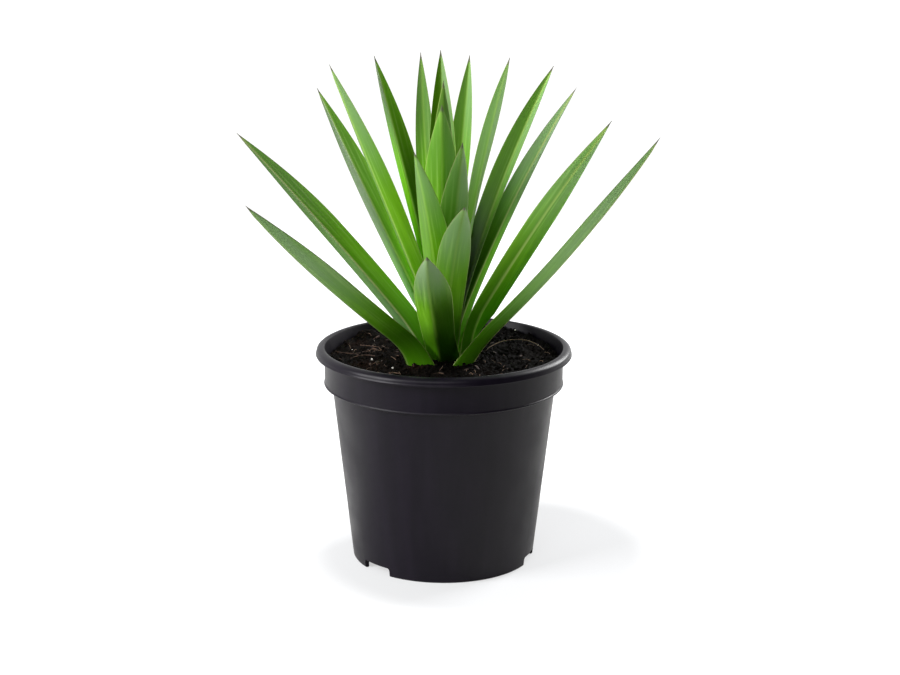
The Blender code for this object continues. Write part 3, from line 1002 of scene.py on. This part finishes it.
@dataclass
class Blade:
    """One leaf's mesh: a keeled channel with rounded margins, drawn from its form."""

    name: str
    form: LeafForm
    age: float
    root_radii: Pair = (15.5 * MM, 3.0 * MM)
    root_heights: Pair = (154.6 * MM, 180.0 * MM)
    base_shares: Pair = (0.92, 0.26)
    widest_at: float = 0.54
    rolled_by: float = 0.15
    rib_thickness: float = 1.5 * MM
    margin_thickness: float = 0.45 * MM
    thinning: float = 0.5
    channel_power: float = 1.22
    fold_loss: float = 0.35
    tip_half_width: float = 0.25 * MM
    sheath: float = 0.04
    clasp_by: float = 0.22
    clasp_flare: float = 0.4
    clasp_swell: float = 1.4
    knee_steps: int = 200
    columns: int = 40
    stations: int = 100

    def clasp(self, share: float) -> float:
        """How strongly the clasping base shapes the blade: 1 at the root, 0 past clasp_by."""
        return max(0.0, 1 - max(share, 0) / self.clasp_by) ** 2 * (1 - self.age) ** 1.5

    def half_width(self, share: float) -> float:
        """Half the blade's width at a share of its length, in metres."""
        full = self.form.width * MM / 2 * (1 + self.clasp_flare * self.clasp(share) ** 2)
        if share < self.widest_at:
            base = blend(*self.base_shares, self.age**1.5)
            return full * (base + (1 - base) * sin(pi / 2 * max(share, 0) / self.widest_at))
        taper = (share - self.widest_at) / (1 - self.widest_at)
        return max(full * (1 - taper**2), self.tip_half_width)

    def axes(self, share: float, leaning: bool = True) -> tuple[Vector, Vector, Vector]:
        """The blade's direction, its side and its upper face's direction.

        Args:
            share: place along the blade; below 0 it is in the soil.
            leaning: True with the steeper base, False for the plain line of the blade.

        Returns:
            Three unit vectors.
        """
        form = self.form
        share = max(share, 0.0)
        lean = form.lean * self.clasp(share) if leaning else 0.0
        slope = radians(form.rise + form.bend * (share - 0.5) + lean)
        heading = radians(form.compass + form.sweep * (share - 0.5))
        along = Vector((cos(slope) * cos(heading), cos(slope) * sin(heading), sin(slope)))
        side = Vector((-sin(heading), cos(heading), 0))
        up = along.cross(side)
        settled = min(1.0, share / self.rolled_by)
        roll = radians(blend(form.roll, form.tip_roll, share)) * settled
        return along, side * cos(roll) + up * sin(roll), up * cos(roll) - side * sin(roll)

    def midline(self) -> list[tuple[float, Vector]]:
        """Where the blade's middle runs, from its end in the soil to its tip.

        The blade keeps its plain line beyond the clasping base, and the base bends down
        from there more steeply.

        Returns:
            The share and the point of each station.
        """
        form = self.form
        length = form.length * MM
        heading = radians(form.compass - form.sweep / 2 + form.root_turn)
        root = blend(*self.root_radii, self.age) + form.root_out * MM
        point = Vector((root * cos(heading), root * sin(heading), blend(*self.root_heights, self.age)))
        stride = (1 + self.sheath) / self.stations
        shares = [station * stride - self.sheath for station in range(self.stations + 1)]
        pace = 1 / self.knee_steps
        knee = 0.0
        while knee < self.clasp_by:
            point = point + self.axes(knee + pace / 2, leaning=False)[0] * length * pace
            knee += pace
        turned = min(range(len(shares)), key=lambda station: abs(shares[station] - knee))
        point = point + self.axes(knee)[0] * length * (shares[turned] - knee)
        line = {turned: point}
        for way, stations in ((1, range(turned + 1, len(shares))), (-1, range(turned - 1, -1, -1))):
            for station in stations:
                step = self.axes((shares[station - way] + shares[station]) / 2)[0]
                line[station] = line[station - way] + step * length * stride * way
        return [(share, line[station]) for station, share in enumerate(shares)]

    def place(self, across: float, under: bool, share: float, centre: Vector) -> Vector:
        """A point of the blade's skin.

        Args:
            across: from -1 at one margin to 1 at the other.
            under: True on the keeled underside.
            share: place along the blade.
            centre: the midline's point there.

        Returns:
            The point in metres.
        """
        _, side, up = self.axes(share)
        fold = radians(self.form.fold * (1 - self.fold_loss * max(share, 0)))
        reach = self.half_width(share)
        rib = self.form.rib_at
        away = (across - rib) / (1 - rib) if across > rib else (rib - across) / (1 + rib)
        lift = reach * away**self.channel_power * sin(fold)
        point = centre + side * reach * across * cos(fold) + up * lift
        if under:
            thin = 1 - self.thinning * max(share, 0) + self.clasp_swell * self.clasp(share)
            slim = min(1.0, reach / (3 * MM))
            belly = self.rib_thickness * (1 - away**1.6)
            edge = self.margin_thickness * (1 - abs(across) ** 6) ** 0.5
            point -= up * (belly + edge) * thin * slim
        return point

    def build(self) -> Object:
        """Wrap a grid into the blade's closed skin and mark its margin, midrib and length.

        Returns:
            The finished blade.
        """
        bpy.ops.mesh.primitive_grid_add(
            x_subdivisions=self.columns, y_subdivisions=self.stations, size=1
        )
        piece = start_piece(self.name)
        mesh = piece.data
        for mark in BLADE_MARKS:
            mesh.attributes.new(mark, "FLOAT", "POINT")
        rim, span, along, halves = (mesh.attributes[mark] for mark in BLADE_MARKS)
        places = self.midline()
        for index, vertex in enumerate(mesh.vertices):
            turn = (vertex.co.x + 0.5) * 2
            under = turn > 1
            across = sin(pi * ((2 - turn if under else turn) - 0.5))
            share, centre = places[round((vertex.co.y + 0.5) * self.stations)]
            vertex.co = self.place(across, under, share, centre)
            reach = self.half_width(share) / MM
            rim.data[index].value = (1 - abs(across)) * reach
            span.data[index].value = (across - self.form.rib_at) * reach
            along.data[index].value = share
            halves.data[index].value = across - self.form.rib_at
        close_skin(piece, 0.004 * MM)
        bpy.ops.object.shade_smooth()
        return piece


@dataclass
class Rosette:
    """The plant: its short stem and every leaf."""

    forms: tuple[LeafForm, ...] = LEAF_FORMS

    def build(self, stem: Object) -> None:
        """Dress the frame's own stem, then build each blade and dress it by its tone."""
        stem.data.materials.clear()
        stem.data.materials.append(FLESHY_STEM.build())
        LOG.info("%s: dressed as it is in the frame", stem.name)
        for index, form in enumerate(self.forms):
            name = f"leaf_{index + 1:02d}"
            blade = Blade(f"{name}_blade", form, index / (len(self.forms) - 1)).build()
            looks = (form.tone, form.halves, form.bloom_and_shade_from, form.rib_line)
            hand_over(blade, WaxyLeaf(f"waxy_leaf_{index + 1:02d}", *looks).build(), name)


# ---- studio


@dataclass
class Studio:
    """The floor, the lights and the camera."""

    camera_place: Triple = (0.0, -1.4475, 0.545)
    camera_down: float = 14.53
    camera_right: float = 0.180
    camera_roll: float = 0.278
    lens_mm: float = 79.74
    floor_size: float = 2.6
    floor_bounce: str = "#dcdcda"
    floor_colour: str = "#959698"
    floor_lift: Pair = (0.56, 1.0)
    floor_front: Pair = (-0.5, -0.3)
    shadow_place: float = 0.03
    shadow_fade: Pair = (0.11, 0.165)
    aim_height: float = 0.22

    def build_camera(self) -> None:
        """Place the camera and make it the scene's."""
        turn = (
            Matrix.Rotation(radians(-self.camera_right), 4, "Z")
            @ Matrix.Rotation(radians(90 - self.camera_down), 4, "X")
            @ Matrix.Rotation(radians(self.camera_roll), 4, "Z")
        )
        bpy.ops.object.camera_add(location=self.camera_place, rotation=turn.to_euler())
        camera = bpy.context.object
        camera.name = "camera"
        camera.data.lens = self.lens_mm
        camera.data.sensor_width = 36
        bpy.context.scene.camera = camera

    def build_floor(self) -> None:
        """A wide plain white floor, which throws a softer light back on the object.

        Close to the pot it glows less to the camera, a painted shadow over the pot's own soft shadow
        that fades into the white surround. It throws no light back from far in front.
        """
        bpy.ops.mesh.primitive_plane_add(size=self.floor_size)
        floor = start_piece("studio_floor")
        made, tree, shader = new_material("white_paper_sweep")
        place = add_node(tree, "TexCoord", out="Object")
        depth = add_node(tree, "SeparateXYZ", (place,), out="Y")
        bounce = layered(tree, "#202020", ((depth, *self.floor_front, 0, 1, self.floor_bounce),))
        centre = (self.shadow_place, 0.0, 0.0)
        away = add_node(tree, "VectorMath", (place, centre), {"operation": "DISTANCE"}, "Value")
        # painted shadow: the floor glows less to the camera close to the pot
        lift = (away, *self.shadow_fade, *self.floor_lift)
        dull = {"Roughness": 1.0, "Specular IOR Level": 0.0}
        seen = {
            "Base Color": self.floor_colour,
            "Emission Color": "#ffffff",
            "Emission Strength": add_node(tree, "MapRange", lift, SOFT),
        }
        feed(tree, shader, {"Base Color": bounce, **dull})
        seen = add_node(tree, "BsdfPrincipled", {**seen, **dull})
        direct = add_node(tree, "LightPath", out="Is Camera Ray")
        body = add_node(tree, "MixShader", (direct, shader.outputs["BSDF"], seen))
        feed(tree, tree.nodes["Material Output"], {"Surface": body})
        made.cycles.emission_sampling = "NONE"
        floor.data.materials.append(made)

    def build_panels(self) -> None:
        """Three square soft lights aimed at the plant: a key on the left, a weak one in front
        and one on the back right. Each has its place and side in metres and its power in watts."""
        for name, place, size, power in (
            ("key_panel", (-1.5, -0.75, 0.85), 1.0, 50),
            ("front_panel", (-0.25, -1.6, 1.4), 1.0, 12),
            ("back_panel", (1.25, 1.15, 1.05), 0.9, 44),
        ):
            aim = Vector((0, 0, self.aim_height)) - Vector(place)
            turn = aim.to_track_quat("-Z", "Y").to_euler()
            bpy.ops.object.light_add(type="AREA", location=place, rotation=turn)
            panel = bpy.context.object
            panel.name = name
            panel.data.size = size
            panel.data.energy = power

    def build_surround(self) -> None:
        """A surround that is white to the camera, pale behind and dark on its side."""
        world = bpy.data.worlds.new("white_surround")
        bpy.context.scene.world = world
        world.use_nodes = True
        tree = world.node_tree
        look = add_node(tree, "TexCoord", out="Generated")
        behind, left = (
            add_node(tree, "MapRange", (add_node(tree, "SeparateXYZ", (look,), out=axis), *ends), SOFT)
            for axis, *ends in (("Y", -0.2, 0.8, 0.04, 0.95), ("X", -0.2, -0.9, 0.0, 0.25))
        )
        around = add_node(tree, "Math", (behind, left), {"operation": "ADD"})
        direct = add_node(tree, "LightPath", out="Is Camera Ray")
        lit = add_node(tree, "Mix", {0: direct, 2: around, 3: 1.1})
        feed(tree, tree.nodes["Background"], {"Color": "#ffffff", "Strength": lit})
        bpy.context.scene.view_settings.view_transform = "Standard"

    def build(self) -> None:
        """Make the camera, the floor, the lights and the surround."""
        self.build_camera()
        self.build_floor()
        self.build_panels()
        self.build_surround()


def main() -> None:
    """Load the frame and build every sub-assembly in order."""
    logging.basicConfig(level=logging.INFO, format="%(name)s: %(message)s")
    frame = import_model()
    Studio().build()
    NurseryPot().build()
    SoilBed().build()
    Rosette().build(frame["nodes"]["stem"])


if __name__ == "__main__":
    main()
